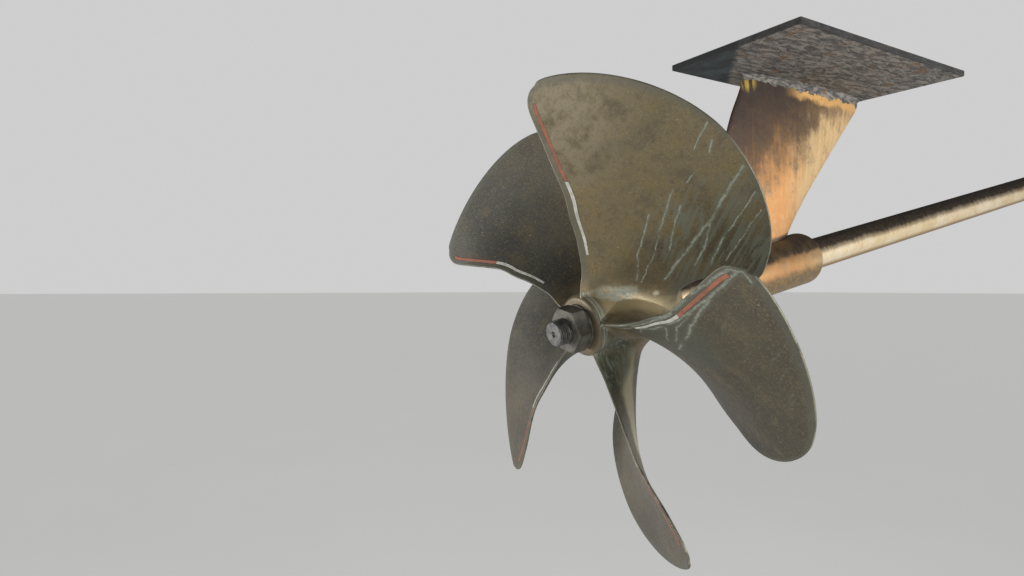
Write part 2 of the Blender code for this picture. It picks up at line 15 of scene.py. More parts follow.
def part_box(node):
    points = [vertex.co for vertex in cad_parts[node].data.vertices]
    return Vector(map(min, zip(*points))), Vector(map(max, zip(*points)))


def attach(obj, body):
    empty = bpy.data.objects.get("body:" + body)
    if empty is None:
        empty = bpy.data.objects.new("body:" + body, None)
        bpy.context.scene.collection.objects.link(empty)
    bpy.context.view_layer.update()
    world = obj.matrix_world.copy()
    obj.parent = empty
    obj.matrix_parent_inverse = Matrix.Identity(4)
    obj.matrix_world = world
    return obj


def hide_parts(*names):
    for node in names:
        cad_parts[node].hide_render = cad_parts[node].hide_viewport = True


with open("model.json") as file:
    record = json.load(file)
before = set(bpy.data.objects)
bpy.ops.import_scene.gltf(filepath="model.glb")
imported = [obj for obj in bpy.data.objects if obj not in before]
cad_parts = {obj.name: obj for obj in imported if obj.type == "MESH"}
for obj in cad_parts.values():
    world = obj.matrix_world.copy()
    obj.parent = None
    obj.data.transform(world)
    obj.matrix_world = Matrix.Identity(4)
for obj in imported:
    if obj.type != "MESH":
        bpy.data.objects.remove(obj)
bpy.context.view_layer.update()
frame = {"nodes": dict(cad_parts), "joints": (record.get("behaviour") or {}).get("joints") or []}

# Bracket. Palm, arm and barrel are one bronze casting, held by the palm's upper face. Old paint
# flakes on the palm and the arm's root; below it the arm is scraped bright under a brown patina,
# and the barrel takes the bearing.
palm_low, palm_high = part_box("shaft_bracket")
PALM_THICKNESS = 0.014
PALM_EDGE = 0.003
ARM_THICKNESS = 0.046
ARM_NOSE = 0.25
# share of the way down from the palm to the shaft line, leading edge y, trailing edge y
ARM_OUTLINE = (
    (0.00, 0.325, -0.162),
    (0.06, 0.320, -0.175),
    (0.14, 0.289, -0.192),
    (0.25, 0.241, -0.218),
    (0.45, 0.149, -0.251),
    (0.65, 0.058, -0.272),
    (0.80, 0.000, -0.284),
    (1.00, -0.050, -0.285),
)
# the arm's rings, close where it flares: first share, last share, count
ARM_ROWS = ((0.00, 0.12, 16), (0.14, 0.74, 24), (0.75, 0.92, 18), (0.96, 1.00, 2))
ARM_POINTS = 96
ARM_FILLET = 0.012
BARREL_ENDS = (0.480, 0.850)
BARREL_RADIUS = 0.070
BARREL_ROUND = 0.018
BEARING_RADIUS = 0.0575
FIT_GAP = 0.0003
TURNED_SIDES = 128
CUT_PAST = 0.02

# What is turned about the shaft line is made in the line's own axes: z forward along it from the
# shaft's aft end, y down, x starboard. The line rises forward in a plane through y and z.
spin = frame["joints"][0]
shaft_end = Vector(spin["pos_m"])
shaft_rise = math.asin(spin["axis"][2])
shaft_tilt = shaft_rise - math.pi / 2
shaft_line = Matrix.Translation(shaft_end) @ Matrix.Rotation(shaft_tilt, 4, "X")


def smooth_curve(at, stations, values):
    """Smooth curve through a few values, without overshoot between them."""
    at = np.asarray(at, float)
    stations = np.array(stations, float)
    values = np.array(values, float)
    steps = np.diff(stations)
    slopes = np.diff(values) / steps
    tangents = np.concatenate((slopes[:1], np.zeros(len(slopes) - 1), slopes[-1:]))
    product = slopes[:-1] * slopes[1:]
    total = np.where(product > 0, slopes[:-1] + slopes[1:], 1.0)
    tangents[1:-1] = np.where(product > 0, 2 * product / total, 0.0)
    i = np.clip(np.searchsorted(stations, at) - 1, 0, len(steps) - 1)
    t = (at - stations[i]) / steps[i]
    return (
        values[i] * (1 + 2 * t) * (1 - t) ** 2
        + tangents[i] * steps[i] * t * (1 - t) ** 2
        + values[i + 1] * t * t * (3 - 2 * t)
        + tangents[i + 1] * steps[i] * t * t * (t - 1)
    )


def fillet_growth(distance, size):
    """How much a fillet of this size thickens a wall at a distance from its foot."""
    left = 1 - np.clip(np.asarray(distance, float) / size, 0, 1)
    return size * (1 - np.sqrt(1 - left * left))


def linked(name, data):
    piece = bpy.data.objects.new(name, data)
    bpy.context.scene.collection.objects.link(piece)
    return piece


def new_piece(name, points, faces, place=None):
    mesh = bpy.data.meshes.new(name)
    mesh.from_pydata([tuple(p) for p in points], [], faces)
    bm = bmesh.new()
    bm.from_mesh(mesh)
    bmesh.ops.remove_doubles(bm, verts=bm.verts, dist=1e-6)
    bmesh.ops.recalc_face_normals(bm, faces=bm.faces)
    if place:
        bmesh.ops.transform(bm, matrix=place, verts=bm.verts)
    bm.to_mesh(mesh)
    bm.free()
    return linked(name, mesh)


def ringed(name, rings, ends="capped", place=None):
    """Skin over rings of points. Its ends are capped, open or joined to each other."""
    rings = np.asarray(rings, float)
    count, around = rings.shape[:2]
    faces = []
    for row in range(count if ends == "joined" else count - 1):
        low, high = row * around, (row + 1) % count * around
        for i in range(around):
            j = (i + 1) % around
            faces.append((low + i, low + j, high + j, high + i))
    if ends == "capped":
        faces.append(tuple(range(around)))
        faces.append(tuple(range((count - 1) * around, count * around)))
    return new_piece(name, rings.reshape(-1, 3), faces, place)


def ring(radius, station, sides, start=0.0):
    """Round of points about the shaft line. Its radius may differ from point to point."""
    turns = start + np.arange(sides) * math.tau / sides
    return np.stack((radius * np.cos(turns), radius * np.sin(turns), np.full(sides, station)), 1)


def turned(name, profile, sides=TURNED_SIDES, ends="open"):
    """Profile of (radius, station) turned about the shaft line."""
    return ringed(name, [ring(r, s, sides) for r, s in profile], ends, shaft_line)


def rounded(radius, station, size, inward, steps=6):
    """Quarter round at a turned corner, from the end face to the outer side."""
    turns = [math.pi / 2 * i / steps for i in range(steps + 1)]
    return [(radius - size + size * math.sin(t), station + inward * size * (1 - math.cos(t)))
            for t in turns]


def both_rounded(radius, aft, fore, size, fore_radius=None):
    """Outer side of a turned piece from its aft end to its fore end, both with a round."""
    fore_corner = rounded(fore_radius or radius, fore, size, -1)[::-1]
    return rounded(radius, aft, size, 1), fore_corner


def settle(piece):
    """Works a piece's modifiers into its mesh."""
    bpy.context.view_layer.update()
    worked = piece.evaluated_get(bpy.context.evaluated_depsgraph_get())
    mesh = bpy.data.meshes.new_from_object(worked)
    piece.modifiers.clear()
    piece.data = mesh


def combine(piece, operation, other):
    step = piece.modifiers.new(operation.lower(), "BOOLEAN")
    step.operation = operation
    step.object = other
    step.solver = "EXACT"
    settle(piece)
    bpy.data.objects.remove(other)


def bore(piece, radius, aft, fore):
    """Cuts a round hole along the shaft line, right through between two stations."""
    first, last = aft - CUT_PAST, fore + CUT_PAST
    cutter = turned("cutter", [(0, first), (radius, first), (radius, last), (0, last)])
    combine(piece, "DIFFERENCE", cutter)


def smooth(piece, degrees=38):
    piece.data.shade_smooth()
    piece.data.set_sharp_from_angle(angle=math.radians(degrees))


def tone(red, green, blue):
    """Colour of a shade given by its values on a screen, 0 to 255."""
    shades = [value / 255 for value in (red, green, blue)]
    return tuple(((v + 0.055) / 1.055) ** 2.4 if v > 0.04 else v / 12.92 for v in shades) + (1.0,)


class Finish:
    """A surface finish built up in layers. Lengths are in metres on the piece.

    A turned finish finds its places in the shaft line's own axes. A colour is another layer, or
    three screen values.
    """

    def __init__(self, name, metallic=0.0, roughness=0.5, turned=True):
        self.material = bpy.data.materials.new(name)
        self.material.use_nodes = True
        self.tree = self.material.node_tree
        self.shader = self.tree.nodes["Principled BSDF"]
        self.shader.inputs["Metallic"].default_value = metallic
        self.shader.inputs["Roughness"].default_value = roughness
        self.place = self.add("ShaderNodeTexCoord").outputs["Object"]
        feeds = {"Vector": self.place, "Location": shaft_end, "Rotation": (shaft_tilt, 0, 0)}
        self.on_shaft = self.add("ShaderNodeMapping", feeds, vector_type="TEXTURE").outputs[0]
        if turned:
            self.place = self.on_shaft

    def add(self, kind, feeds=(), **settings):
        node = self.tree.nodes.new(kind)
        for name, value in settings.items():
            setattr(node, name, value)
        for slot, value in dict(feeds).items():
            if isinstance(value, bpy.types.NodeSocket):
                self.tree.links.new(value, node.inputs[slot])
            else:
                node.inputs[slot].default_value = value
        return node

    def sum(self, operation, first, second=0.0, third=0.0):
        feeds = {0: first, 1: second, 2: third}
        return self.add("ShaderNodeMath", feeds, operation=operation).outputs[0]

    def fold(self, operation, values):
        total = values[0]
        for value in values[1:]:
            total = self.sum(operation, total, value)
        return total

    def times(self, *values):
        return self.fold("MULTIPLY", values)

    def most(self, *values):
        return self.fold("MAXIMUM", values)

    def least(self, *values):
        return self.fold("MINIMUM", values)

    def vector(self, operation, first, second=(0, 0, 0)):
        return self.add("ShaderNodeVectorMath", {0: first, 1: second}, operation=operation)

    def scaled(self, vector, scale):
        feeds = {0: vector, "Scale": scale}
        return self.add("ShaderNodeVectorMath", feeds, operation="SCALE").outputs[0]

    def split(self, place):
        return self.add("ShaderNodeSeparateXYZ", {0: place}).outputs

    def from_shaft(self):
        """Distance from the shaft's centre line."""
        flat = self.vector("MULTIPLY", self.on_shaft, (1, 1, 0)).outputs[0]
        return self.vector("LENGTH", flat).outputs["Value"]

    def stretched(self, stretch, along=None):
        """The piece's own places, divided by a stretch along a direction and across it."""
        turn = Vector(along).to_track_quat("X", "Z").to_euler() if along else (0, 0, 0)
        feeds = {"Vector": self.place, "Scale": stretch, "Rotation": turn}
        return self.add("ShaderNodeMapping", feeds, vector_type="TEXTURE").outputs[0]

    def wandering(self, size, reach):
        """The piece's own places, pushed about by a grain so that what is drawn there wanders."""
        feeds = {"Vector": self.place, "Scale": 1 / size, "Detail": 3}
        drift = self.add("ShaderNodeTexNoise", feeds).outputs["Color"]
        pushed = self.vector("SUBTRACT", drift, (0.5, 0.5, 0.5)).outputs[0]
        return self.vector("ADD", self.place, self.scaled(pushed, 2 * reach)).outputs[0]

    def apart(self, place, point):
        """Distance from a point."""
        return self.vector("DISTANCE", place, point).outputs["Value"]

    def beside(self, place, points):
        """Distance from a path through some points."""
        distances = []
        for first, last in zip(points, points[1:]):
            run = Vector(last) - Vector(first)
            offset = self.vector("SUBTRACT", place, first).outputs[0]
            share = self.vector("DOT_PRODUCT", offset, run / run.length_squared).outputs["Value"]
            share = self.add("ShaderNodeClamp", {0: share}).outputs[0]
            distances.append(self.apart(offset, self.scaled(run, share)))
        return self.least(*distances)

    def near(self, far, close, *points, place=None):
        """1 within close of a point, or of a path through some points, and 0 beyond far."""
        place = place or self.place
        distance = self.apart(place, points[0]) if len(points) == 1 else self.beside(place, points)
        return self.band(distance, far, close)

    def grain(self, size, detail=4, rough=0.6, place=None, drift=0.0):
        feeds = {"Vector": place or self.place, "Scale": 1 / size, "Detail": detail,
                 "Roughness": rough, "Distortion": drift}
        return self.add("ShaderNodeTexNoise", feeds).outputs["Fac"]

    def uneven(self, value, grain, reach):
        """A value made uneven by a grain, half its reach up and half its reach down."""
        return self.sum("MULTIPLY_ADD", self.sum("SUBTRACT", grain, 0.5), reach, value)

    def band(self, value, low, high):
        """0 below low and 1 above high, or the other way round if low is the higher."""
        feeds = {"Value": value, "From Min": min(low, high), "From Max": max(low, high),
                 "To Min": float(low > high), "To Max": float(low < high)}
        return self.add("ShaderNodeMapRange", feeds, interpolation_type="SMOOTHSTEP").outputs[0]

    def level(self, amount, low, high):
        feeds = {"Value": amount, "To Min": low, "To Max": high}
        return self.add("ShaderNodeMapRange", feeds).outputs[0]

    def blend(self, amount, under, over):
        under, over = (tone(*c) if isinstance(c, tuple) else c for c in (under, over))
        feeds = {"Factor": amount, 6: under, 7: over}
        return self.add("ShaderNodeMix", feeds, data_type="RGBA").outputs[2]

    def over(self, under, colour, *amounts):
        """Lays a colour over what is under it, by the product of some amounts."""
        return self.blend(self.times(*amounts), under, colour)

    def paint(self, colour, rough=None, metal=None, relief=None, depth=0.001):
        """Feeds the layered colour, roughness, metal and relief to the shader."""
        feeds = {"Base Color": colour, "Roughness": rough, "Metallic": metal}
        for slot, socket in feeds.items():
            if socket is not None:
                self.tree.links.new(socket, self.shader.inputs[slot])
        if relief is not None:
            bump = self.add("ShaderNodeBump", {"Height": relief, "Distance": depth, "Strength": 1})
            self.tree.links.new(bump.outputs[0], self.shader.inputs["Normal"])
        return self.material


def arm_ring(share):
    shares, lead, trail = zip(*ARM_OUTLINE)
    lead_y = float(smooth_curve(share, shares, lead))
    trail_y = float(smooth_curve(share, shares, trail))
    middle = (lead_y + trail_y) / 2
    top = -PALM_THICKNESS / 2
    bottom = shaft_end.z + (middle - shaft_end.y) * math.tan(shaft_rise)
    level = top + (bottom - top) * share
    growth = fillet_growth(-PALM_THICKNESS - level, ARM_FILLET)
    growth += fillet_growth(level - bottom - BARREL_RADIUS, ARM_FILLET)
    turns = np.arange(ARM_POINTS) * math.tau / ARM_POINTS
    along = np.cos(turns)
    across = np.sin(turns) * (0.5 * ARM_THICKNESS * (1 + ARM_NOSE * along) + growth)
    run = middle + along * ((lead_y - trail_y) / 2 + growth)
    return np.stack((shaft_end.x + across, run, np.full(ARM_POINTS, level)), 1)


def build_palm():
    palm = linked("palm", bpy.data.meshes.new("palm"))
    bm = bmesh.new()
    bmesh.ops.create_cube(bm, size=1.0)
    size = (palm_high.x - palm_low.x, palm_high.y - palm_low.y, PALM_THICKNESS)
    bmesh.ops.scale(bm, vec=size, verts=bm.verts)
    bmesh.ops.translate(bm, vec=(0, 0, -PALM_THICKNESS / 2), verts=bm.verts)
    lower = [e for e in bm.edges if min(v.co.z for v in e.verts) < -PALM_THICKNESS / 2]
    bmesh.ops.bevel(bm, geom=lower, offset=PALM_EDGE, segments=4, affect="EDGES", profile=0.5)
    bm.to_mesh(palm.data)
    bm.free()
    return palm


def build_bracket():
    shares = np.concatenate([np.linspace(*rows) for rows in ARM_ROWS])
    bracket = ringed("bracket_casting", [arm_ring(share) for share in shares])
    combine(bracket, "UNION", build_palm())
    aft, fore = BARREL_ENDS
    aft_side, fore_side = both_rounded(BARREL_RADIUS, aft, fore, BARREL_ROUND)
    barrel = turned("barrel", [(0, aft)] + aft_side + fore_side + [(0, fore)])
    combine(bracket, "UNION", barrel)
    bore(bracket, BEARING_RADIUS + FIT_GAP, aft, fore)
    smooth(bracket)
    return bracket


def bracket_finish():
    f = Finish("scraped_bronze", metallic=0.6, roughness=0.45, turned=False)
    broad = f.grain(0.16, 3)
    medium = f.grain(0.045, 5)
    fine = f.grain(0.012, 4)
    speck = f.grain(0.005, 3, 0.7)
    runs = f.grain(1.0, 4, place=f.stretched((0.016, 0.016, 0.14)))
    side, along, level = f.split(f.place)
    bright = f.blend(f.band(along, -0.06, 0.08), (228, 168, 110), (228, 196, 146))
    bright = f.over(bright, (206, 150, 82), f.band(runs, 0.44, 0.68), 0.45)
    bright = f.over(bright, (190, 160, 124), f.band(medium, 0.52, 0.66), 0.5)
    bright = f.over(bright, (240, 206, 154), f.band(fine, 0.5, 0.7), 0.35)
    dark = f.blend(f.band(medium, 0.38, 0.62), (56, 46, 42), (98, 77, 54))
    dark = f.over(dark, (60, 50, 54), f.band(fine, 0.52, 0.66), 0.5)
    dark = f.over(dark, (150, 114, 64), f.band(runs, 0.54, 0.70), 0.45)
    # the patina keeps to the upper and after part of the arm, and runs down it in streaks
    height = level
    for grain, reach in ((broad, 0.24), (runs, 0.10), (medium, 0.20), (fine, 0.08)):
        height = f.uneven(height, grain, reach)
    upper = f.sum("MULTIPLY_ADD", along, -0.79, height)
    patina = f.times(f.band(upper, -0.28, -0.08), 0.93)
    colour = f.over(bright, (152, 122, 90), f.band(height, -0.150, -0.060), 0.8)
    colour = f.over(colour, dark, patina)
    colour = f.over(colour, (58, 48, 44), f.band(upper, -0.12, 0.04), 0.85)
    scuffs = f.times(f.band(fine, 0.60, 0.68), f.band(medium, 0.5, 0.6))
    colour = f.over(colour, (92, 78, 76), scuffs, f.band(level, -0.40, -0.30), 0.8)
    # the barrel is brown above, scraped in a band below, and its fore edge is bare
    down, forward = f.split(f.on_shaft)[1:]
    turn = f.uneven(down, medium, 0.030)
    scraped = f.blend(0.45, bright, (140, 116, 82))
    lower = f.blend(f.band(fine, 0.4, 0.6), (126, 108, 82), (150, 124, 86))
    top = f.blend(f.band(medium, 0.4, 0.6), (84, 74, 62), (116, 98, 74))
    skin = f.over(scraped, lower, f.band(turn, 0.006, 0.026))
    skin = f.over(skin, top, f.band(turn, -0.018, -0.032))
    skin = f.over(skin, (206, 158, 120), f.band(forward, 0.838, 0.844))
    colour = f.over(colour, skin, f.band(f.from_shaft(), 0.084, 0.074))
    # a bare line and an olive spot lie just below the ragged end of the paint
    ragged = f.uneven(level, f.grain(0.035, 6, 0.7), 0.050)
    edge = f.sum("MULTIPLY_ADD", along, 0.02, ragged)
    bare = f.times(f.band(edge, -0.060, -0.042), f.band(along, -0.04, 0.06))
    colour = f.over(colour, (236, 186, 116), bare, 0.9)
    olive = f.near(0.034, 0.012, (-0.095, -0.160, -0.035))
    colour = f.over(colour, (178, 150, 72), olive, f.band(runs, 0.40, 0.52))
    # the paint flakes in short scales; towards one corner it is smooth, and a dark line of painted
    # shade runs just inside the palm's outer edge
    flakes = f.grain(1.0, 8, 0.75, place=f.stretched((0.012, 0.040, 0.012)), drift=0.8)
    paint = f.blend(f.band(flakes, 0.44, 0.58), (78, 76, 74), (142, 137, 129))
    paint = f.over(paint, (46, 45, 46), f.band(flakes, 0.40, 0.34), 0.9)
    paint = f.over(paint, (150, 146, 138), f.band(speck, 0.55, 0.68), 0.5)
    paint = f.over(paint, (118, 88, 60), f.band(medium, 0.57, 0.64), f.band(fine, 0.42, 0.55))
    teal = f.blend(f.band(medium, 0.42, 0.6), (38, 41, 43), (54, 64, 65))
    corner = f.uneven(f.sum("ADD", side, along), fine, 0.05)
    paint = f.over(paint, teal, f.band(corner, -0.300, -0.325))
    # painted shade: a dark line just inside the palm's outer edge
    border_shade = f.most(f.sum("ADD", f.sum("ABSOLUTE", along), palm_low.y),
                    f.sum("ADD", f.sum("ABSOLUTE", side), palm_low.x))
    border_shade = f.band(f.uneven(border_shade, fine, 0.008), -0.006, -0.002)
    paint = f.over(paint, (40, 40, 41), border_shade, 0.85)
    painted = f.band(edge, -0.034, -0.031)
    colour = f.over(colour, paint, painted)
    rough = f.blend(painted, f.level(fine, 0.34, 0.6), f.level(fine, 0.75, 0.95))
    metal = f.blend(painted, f.level(patina, 0.65, 0.35), (0, 0, 0))
    relief = f.sum("MULTIPLY_ADD", painted, f.level(flakes, 0.0, 2.0), f.level(fine, 0, 0.3))
    return f.paint(colour, rough, metal, relief, 0.0015)


bracket = build_bracket()
bracket.data.materials.append(bracket_finish())
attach(bracket, "bracket")
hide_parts("shaft_bracket")

# Bearing. A brass shell pressed into the barrel holds a rubber lining, whose flutes let water
# through to the shaft.
SHAFT_RADIUS = 0.0425
BEARING_WALL = 0.004
BEARING_CLEARANCE = 0.0004
BEARING_SET_BACK = 0.002
SHELL_EDGE = 0.0005
LINING_EDGE = 0.0012
FLUTE_COUNT = 10
FLUTE_DEPTH = 0.004
FLUTE_SHARE = 0.4
FLUTE_STEPS = 16
bearing_aft = BARREL_ENDS[0] + BEARING_SET_BACK
bearing_fore = BARREL_ENDS[1] - BEARING_SET_BACK


def build_shell():
    outer, inner, edge = BEARING_RADIUS, BEARING_RADIUS - BEARING_WALL, SHELL_EDGE
    aft, fore = bearing_aft, bearing_fore
    profile = [
        (inner, aft + edge), (inner + edge, aft), (outer - edge, aft), (outer, aft + edge),
        (outer, fore - edge), (outer - edge, fore), (inner + edge, fore), (inner, fore - edge),
    ]
    return turned("bearing_sleeve", profile, ends="joined")


def lining_ring(station, widen=0.0):
    """Ring along the lining's inner side, whose flutes are rounded."""
    sides = FLUTE_COUNT * FLUTE_STEPS
    share = (np.arange(sides) / FLUTE_STEPS) % 1
    hollow = np.clip((share - (1 - FLUTE_SHARE)) / FLUTE_SHARE, 0, 1)
    radius = SHAFT_RADIUS + BEARING_CLEARANCE + widen
    return ring(radius + FLUTE_DEPTH * np.sqrt(np.sin(math.pi * hollow)), station, sides)


def build_lining():
    outer = BEARING_RADIUS - BEARING_WALL - FIT_GAP
    aft, fore, edge = bearing_aft, bearing_fore, LINING_EDGE
    rings = [lining_ring(aft + edge), lining_ring(aft, edge)]
    rings += [ring(outer, station, FLUTE_COUNT * FLUTE_STEPS) for station in (aft, fore)]
    rings += [lining_ring(fore, edge), lining_ring(fore - edge)]
    return ringed("bearing_rubber", rings, "joined", shaft_line)


def mottled(name, dark, light, size, detail, rough, *, ends, metallic=0.0, spread, relief, depth):
    """One colour clouded by another, as wide as size, with a fine relief."""
    f = Finish(name, metallic=metallic)
    clouds = f.grain(size, detail, rough)
    colour = f.blend(f.band(clouds, *ends), dark, light)
    return f.paint(colour, f.level(clouds, *spread), relief=f.grain(*relief), depth=depth)


def plain_metal(name, dark, light, metallic, spread=(0.25, 0.45)):
    return mottled(name, dark, light, 0.01, 6, 0.65, ends=(0.35, 0.65), metallic=metallic,
                   spread=spread, relief=(0.002, 3), depth=0.0002)


shell = build_shell()
shell.data.materials.append(plain_metal("sleeve_brass", (120, 98, 62), (190, 160, 100), 0.9))
lining = build_lining()
lining.data.materials.append(
    plain_metal("water_rubber", (24, 24, 25), (44, 44, 44), 0.0, (0.55, 0.8)))
bearing = (
    (shell, "bearing_shell", "bearing_brass"),
    (lining, "bearing_lining", "bearing_rubber"),
)
for piece, node, finish in bearing:
    smooth(piece)
    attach(piece, "bracket")
    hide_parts(node)

# Tail shaft. A turned bar with a taper under the hub, a thread for the nuts and a centre hole.
# Its pale gold turns darker gold along the bottom and dark brown along the top, in ragged
# streaks. A steel key, hidden in the hub, locks the two together.
SHAFT_LENGTH = 2.300
SHAFT_CHAMFER = 0.004
THREAD_RADIUS = 0.028
THREAD_PITCH = 0.0055
THREAD_DEPTH = 0.0034
THREAD_FLAT = 0.1
THREAD_END = 0.026
THREAD_CHAMFER = 0.003
THREAD_SIDES = 120
THREAD_STEPS = 10
CENTRE_HOLE = (0.006, 0.009)
HUB_ENDS = (0.070, 0.320)
TAPER_START = 0.074
TAPER_AFT_RADIUS = 0.0321
PLAIN_START = 0.340
PLAIN_ROWS = 40


def thread_radius(station):
    """Radii round the thread at one station, a helix with flat crests and roots."""
    wave = station / THREAD_PITCH - np.arange(THREAD_SIDES) / THREAD_SIDES
    wave = abs(2 * (wave % 1) - 1)
    cut = np.clip((wave - THREAD_FLAT) / (1 - 2 * THREAD_FLAT), 0, 1) * THREAD_DEPTH
    cut = cut * np.clip((THREAD_END - station) / THREAD_PITCH, 0, 1)
    crest = THREAD_RADIUS - max(THREAD_CHAMFER - station, 0.0)
    return np.minimum(THREAD_RADIUS - cut, crest)


def build_shaft():
    """Rings from the centre hole forward."""
    hole_radius, hole_depth = CENTRE_HOLE
    profile = [(0.0, hole_depth), (hole_radius, 0.001), (hole_radius + 0.001, 0.0)]
    stations = np.arange(0.0, THREAD_END, THREAD_PITCH / THREAD_STEPS)
    profile += [(thread_radius(station), station) for station in stations]
    profile += [(THREAD_RADIUS, THREAD_END), (THREAD_RADIUS, TAPER_START),
                (TAPER_AFT_RADIUS, TAPER_START), (SHAFT_RADIUS, HUB_ENDS[1])]
    plain = np.linspace(PLAIN_START, SHAFT_LENGTH - SHAFT_CHAMFER, PLAIN_ROWS)
    profile += [(SHAFT_RADIUS, station) for station in plain]
    profile += [(SHAFT_RADIUS - SHAFT_CHAMFER, SHAFT_LENGTH), (0.0, SHAFT_LENGTH)]
    return turned("turned_shaft", profile, THREAD_SIDES)


def shaft_finish():
    f = Finish("gold_brown_shaft", metallic=0.7)
    down, along = f.split(f.place)[1:]
    stain = f.grain(0.09, 5)
    fine = f.grain(0.012, 5)
    rings = f.grain(1.0, 3, place=f.stretched((0.2, 0.2, 0.003)))
    runs = f.grain(1.0, 3, 0.7, place=f.stretched((0.3, 0.06, 0.012)))
    colour = f.blend(f.band(stain, 0.35, 0.65), (234, 211, 168), (248, 232, 202))
    colour = f.over(colour, (190, 156, 102), f.band(fine, 0.45, 0.7), 0.3)
    # darker gold along the bottom, then dark brown along the top past a ragged edge
    colour = f.over(colour, (150, 118, 70), f.band(down, 0.020, 0.036))
    edge = f.uneven(f.uneven(down, runs, 0.014), stain, 0.020)
    colour = f.over(colour, (128, 104, 72), f.band(edge, -0.002, -0.012), 0.5)
    top = f.band(edge, -0.010, -0.022)
    brown = f.blend(f.band(fine, 0.4, 0.62), (58, 50, 46), (86, 76, 66))
    colour = f.over(colour, brown, top, 0.95)
    steel = f.blend(f.band(fine, 0.4, 0.6), (84, 83, 82), (112, 110, 106))
    colour = f.over(colour, steel, f.band(along, 0.075, 0.06))
    rough = f.level(f.sum("MULTIPLY_ADD", top, 0.5, fine), 0.28, 0.55)
    relief = f.sum("MULTIPLY_ADD", rings, 0.3, fine)
    return f.paint(colour, rough, None, relief, 0.0002)


shaft = build_shaft()
shaft.data.materials.append(shaft_finish())
smooth(shaft, 30)
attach(shaft, "rotor")
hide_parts("tail_shaft")
key = frame["nodes"]["shaft_key"]
key.data.materials.clear()
key.data.materials.append(plain_metal("key_steel", (104, 100, 98), (150, 146, 140), 1.0))

# Propeller. Hub and five skewed blades are one bronze casting with generous root fillets, bored
# to the shaft's taper. Its blunt blade edges are ground round. Water has left it brown, with
# pale green runs and crust.
BLADE_COUNT = 5
PROP_RADIUS = 0.520
BLADE_ROOT_STATION = 0.1395
ROOT_ANGLE = math.radians(34.3)
# radius ratio, pitch, and how far the mid chord lies ahead of the screw line of its swing
BLADE_SCREW = (
    (0.13, 1.170, 0.0000),
    (0.40, 1.309, 0.0090),
    (0.60, 1.403, 0.0106),
    (0.80, 1.318, 0.0069),
    (1.00, 1.358, 0.0046),
)
SWING_PITCH = 1.370
EDGE_THICKNESS = 0.0055
ROOT_FILLET = 0.030
FILLET_SINK = 0.0012
LEAD_FLARE = 0.060
LEAD_FLARE_HEIGHT = 0.165
LEAD_FLARE_POWER = 1.5
TRAIL_FILLET_SHARE = 0.25
FULL_FILLET_FROM = 0.35
INNER_RATIO = 0.105
CORNER_RATIO = 0.955
# radius ratio, width in diameters before the tip is rounded off, swing of the mid chord in
# degrees, and thickness in the middle of the chord
BLADE_OUTLINE = (
    (0.13, 0.172, 4.7, 0.0580),
    (0.20, 0.176, 3.8, 0.0470),
    (0.35, 0.256, 6.1, 0.0290),
    (0.50, 0.403, 10.9, 0.0205),
    (0.65, 0.469, 5.7, 0.0157),
    (0.80, 0.547, -1.0, 0.0111),
    (0.90, 0.638, -6.9, 0.0082),
    (0.97, 0.797, -12.0, 0.0060),
    (1.00, 1.014, -18.2, 0.0055),
)
TIP_ROUNDING = 6
# the blade's grid: shares of its width where it rounds off, and counts of rows and columns
ROUND_OFF = np.array([0, 0.0008, 0.0022, 0.0045, 0.008, 0.0135, 0.021, 0.032])
FLAT_COLUMNS = (0.046, 0.954, 42)
FILLET_ROWS = 14
FACE_ROWS = 84
FOOT_TRIES = 8
TIP_SAMPLES = 4000
# share of the hub's length from its aft end, radius
HUB_OUTLINE = (
    (0.00, 0.0670),
    (0.15, 0.0695),
    (0.30, 0.0710),
    (0.60, 0.0720),
    (0.80, 0.0715),
    (1.00, 0.0690),
)
HUB_ROUND = 0.010
HUB_ROWS = 48
HUB_SIDES = 160
STRIP_WIDTH = 0.0085
STRIP_DEPTH = 0.0022
STRIP_INSET = 0.017
STRIP_ENDS = {"outer": (0.600, 0.905), "inner": (0.305, 0.600)}
STRIP_STEPS = 60
# radius ratios, and share of the strip's width there
STRIP_TAPER = ((0.305, 0.600), (0.66, 1.00))
GROOVE_CUT = 0.004
blade_ratios, blade_widths, blade_swings, blade_thicknesses = zip(*BLADE_OUTLINE)
screw_ratios, blade_pitches, blade_rakes = zip(*BLADE_SCREW)


def blade_chord(ratio):
    width = 2 * PROP_RADIUS * smooth_curve(ratio, blade_ratios, blade_widths)
    return width * np.sqrt(np.maximum(1 - ratio ** TIP_ROUNDING, 0))


def blade_swing(ratio):
    return np.radians(smooth_curve(ratio, blade_ratios, blade_swings))


def blade_lead(ratio):
    pitch = smooth_curve(ratio, screw_ratios, blade_pitches)
    return np.arctan(pitch / (math.tau * ratio * PROP_RADIUS))


def blade_middle(ratio):
    """Station of the middle of the chord."""
    rake = smooth_curve(ratio, screw_ratios, blade_rakes)
    return BLADE_ROOT_STATION + rake + blade_swing(ratio) * SWING_PITCH / math.tau


def half_angle(ratio):
    """Half the angle that the blade covers at a radius, seen along the shaft."""
    return 0.5 * blade_chord(ratio) * np.cos(blade_lead(ratio)) / (ratio * PROP_RADIUS)


def hub_radius(station):
    share = (station - HUB_ENDS[0]) / (HUB_ENDS[1] - HUB_ENDS[0])
    return smooth_curve(np.clip(share, 0, 1), *zip(*HUB_OUTLINE))


def rounded_hub_radius(station):
    """The hub's radius with the round of its aft edge taken off."""
    over = np.clip((HUB_ENDS[0] + HUB_ROUND - station) / HUB_ROUND, 0, 1)
    return hub_radius(station) - HUB_ROUND * (1 - np.sqrt(1 - over * over))


def foot_radius(ratio, share):
    """Radius of the hub under a place on the blade, less the sink of the fillet's toe."""
    reach = (share - 0.5) * blade_chord(ratio)
    station = blade_middle(ratio) + reach * np.sin(blade_lead(ratio))
    return rounded_hub_radius(station) - FILLET_SINK


